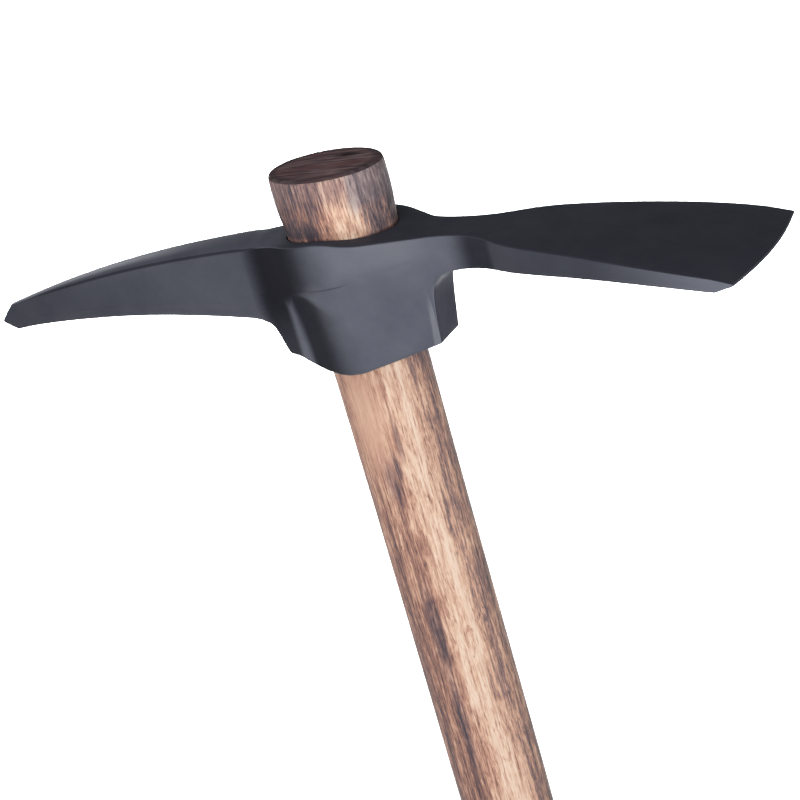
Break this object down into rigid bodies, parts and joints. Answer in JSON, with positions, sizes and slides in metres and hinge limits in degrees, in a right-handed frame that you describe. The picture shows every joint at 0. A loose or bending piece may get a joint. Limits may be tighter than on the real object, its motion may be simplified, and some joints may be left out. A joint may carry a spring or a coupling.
{
  "type": "mattock",
  "caption": "Long-handled mattock: a forged head with a pick and a flaring adze blade slips over an oval wooden handle and jams on its swelled end.",
  "frame": {"origin": "centre of the flat butt face of the handle", "axes": "+Z along the handle from the butt to the head, +X towards the adze blade, -X towards the pick, +Y across the head"},
  "size_m": [0.4687, 0.095, 0.9],
  "materials": {
    "coated_steel": "satin",
    "torched_ash": "satin"
  },
  "bodies": {
    "handle": {"handle": "torched_ash"},
    "head": {"head": "coated_steel"}
  },
  "joints": [
    {"name": "head_slide", "type": "slide", "parent": "handle", "child": "head", "axis": [0, 0, -1], "range_m": [0, 0.787]}
  ]
}
